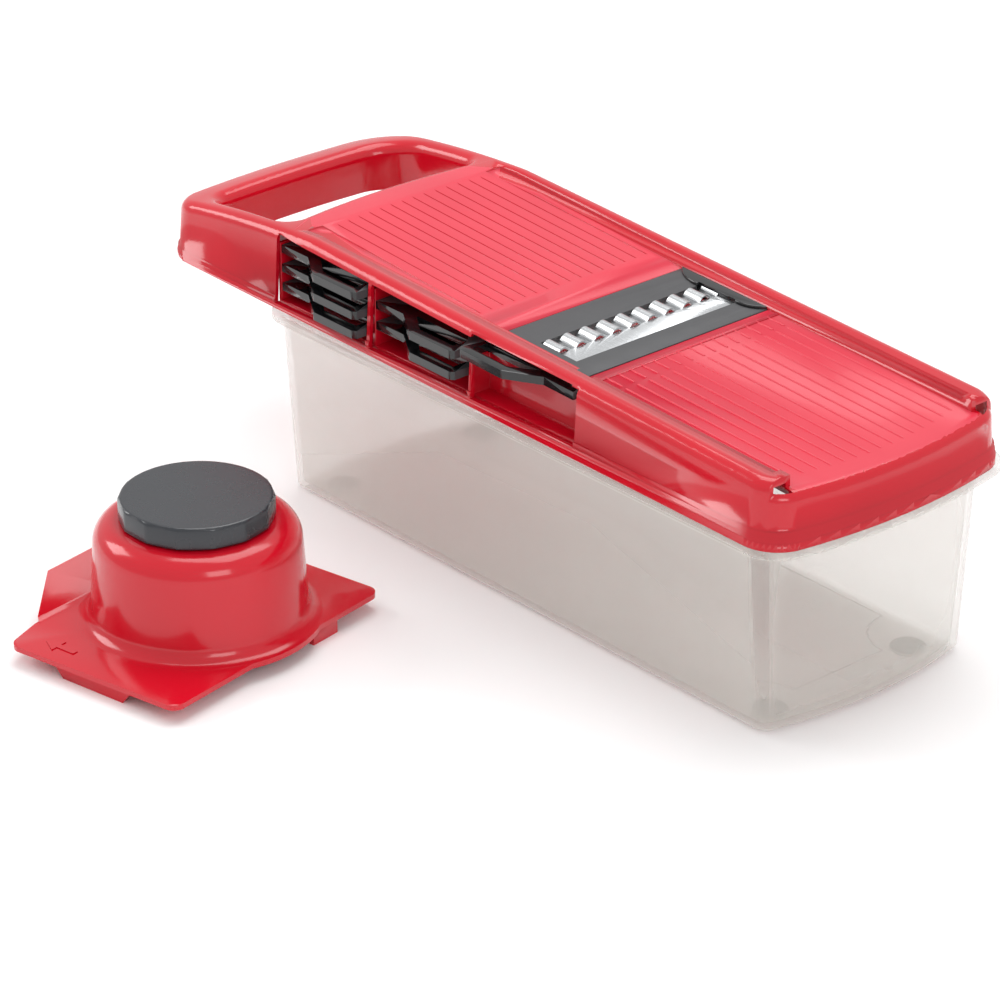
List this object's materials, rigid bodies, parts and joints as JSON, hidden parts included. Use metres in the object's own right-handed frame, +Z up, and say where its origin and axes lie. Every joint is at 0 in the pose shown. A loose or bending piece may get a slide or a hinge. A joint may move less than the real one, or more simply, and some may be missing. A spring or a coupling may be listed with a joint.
{
  "type": "mandoline slicer",
  "caption": "Box mandoline with a sloped slicing frame, blade inserts kept in its side, a clear catch box on foot pads and a domed food holder with a push knob.",
  "frame": {"origin": "on the table, in the middle of the four foot pads", "axes": "+X runs along the slicer to its low front end, -X is the carrying handle, -Y is the side that the inserts are drawn from and that the food holder stands on, +Z is up"},
  "size_m": [0.3714, 0.2912, 0.1175],
  "materials": {
    "clear_plastic": "clear polished",
    "red_plastic": "glossy",
    "black_plastic": "satin",
    "insert_plastic": "fine matte grain",
    "steel": "bright ground",
    "pad_rubber": "matte"
  },
  "bodies": {
    "base": {"catch_box": "clear_plastic", "foot_pad_front_near": "pad_rubber", "foot_pad_front_far": "pad_rubber", "foot_pad_back_near": "pad_rubber", "foot_pad_back_far": "pad_rubber"},
    "frame": {"slicer_frame": "red_plastic", "insert_tray": "red_plastic"},
    "crinkle_insert": {"crinkle_frame": "insert_plastic", "crinkle_blade": "steel"},
    "thick_slicer_insert": {"thick_slicer_frame": "insert_plastic", "thick_slicer_blade": "steel"},
    "thin_slicer_insert": {"thin_slicer_frame": "insert_plastic", "thin_slicer_blade": "steel"},
    "coarse_grater_insert": {"coarse_grater_frame": "insert_plastic", "coarse_grater_plate": "steel"},
    "wide_julienne_insert": {"wide_julienne_frame": "insert_plastic", "wide_julienne_blade": "steel", "wide_julienne_comb": "steel"},
    "fine_julienne_insert": {"fine_julienne_frame": "insert_plastic", "fine_julienne_blade": "steel", "fine_julienne_comb": "steel"},
    "holder": {"holder_shell": "red_plastic"},
    "plunger": {"holder_knob": "black_plastic", "holder_pusher": "red_plastic", "holder_pins": "steel"}
  },
  "joints": [
    {"name": "frame_lift", "type": "slide", "parent": "base", "child": "frame", "axis": [0, 0, 1], "range_m": [0, 0.12]},
    {"name": "crinkle_slide", "type": "slide", "parent": "frame", "child": "crinkle_insert", "axis": [0, -1, 0], "range_m": [0, 0.115]},
    {"name": "thick_slicer_slide", "type": "slide", "parent": "frame", "child": "thick_slicer_insert", "axis": [0, -1, 0], "range_m": [0, 0.115]},
    {"name": "thin_slicer_slide", "type": "slide", "parent": "frame", "child": "thin_slicer_insert", "axis": [0, -1, 0], "range_m": [0, 0.115]},
    {"name": "coarse_grater_slide", "type": "slide", "parent": "frame", "child": "coarse_grater_insert", "axis": [0, -1, 0], "range_m": [0, 0.115]},
    {"name": "wide_julienne_slide", "type": "slide", "parent": "frame", "child": "wide_julienne_insert", "axis": [0, -1, 0], "range_m": [0, 0.115]},
    {"name": "fine_julienne_slide", "type": "slide", "parent": "frame", "child": "fine_julienne_insert", "axis": [0, -1, 0], "range_m": [0, 0.115]},
    {"name": "holder_lift", "type": "slide", "parent": "base", "child": "holder", "axis": [0, 0, 1], "range_m": [0, 0.1]},
    {"name": "plunger_slide", "type": "slide", "parent": "holder", "child": "plunger", "axis": [0, 0, 1], "range_m": [0, 0.024]}
  ]
}
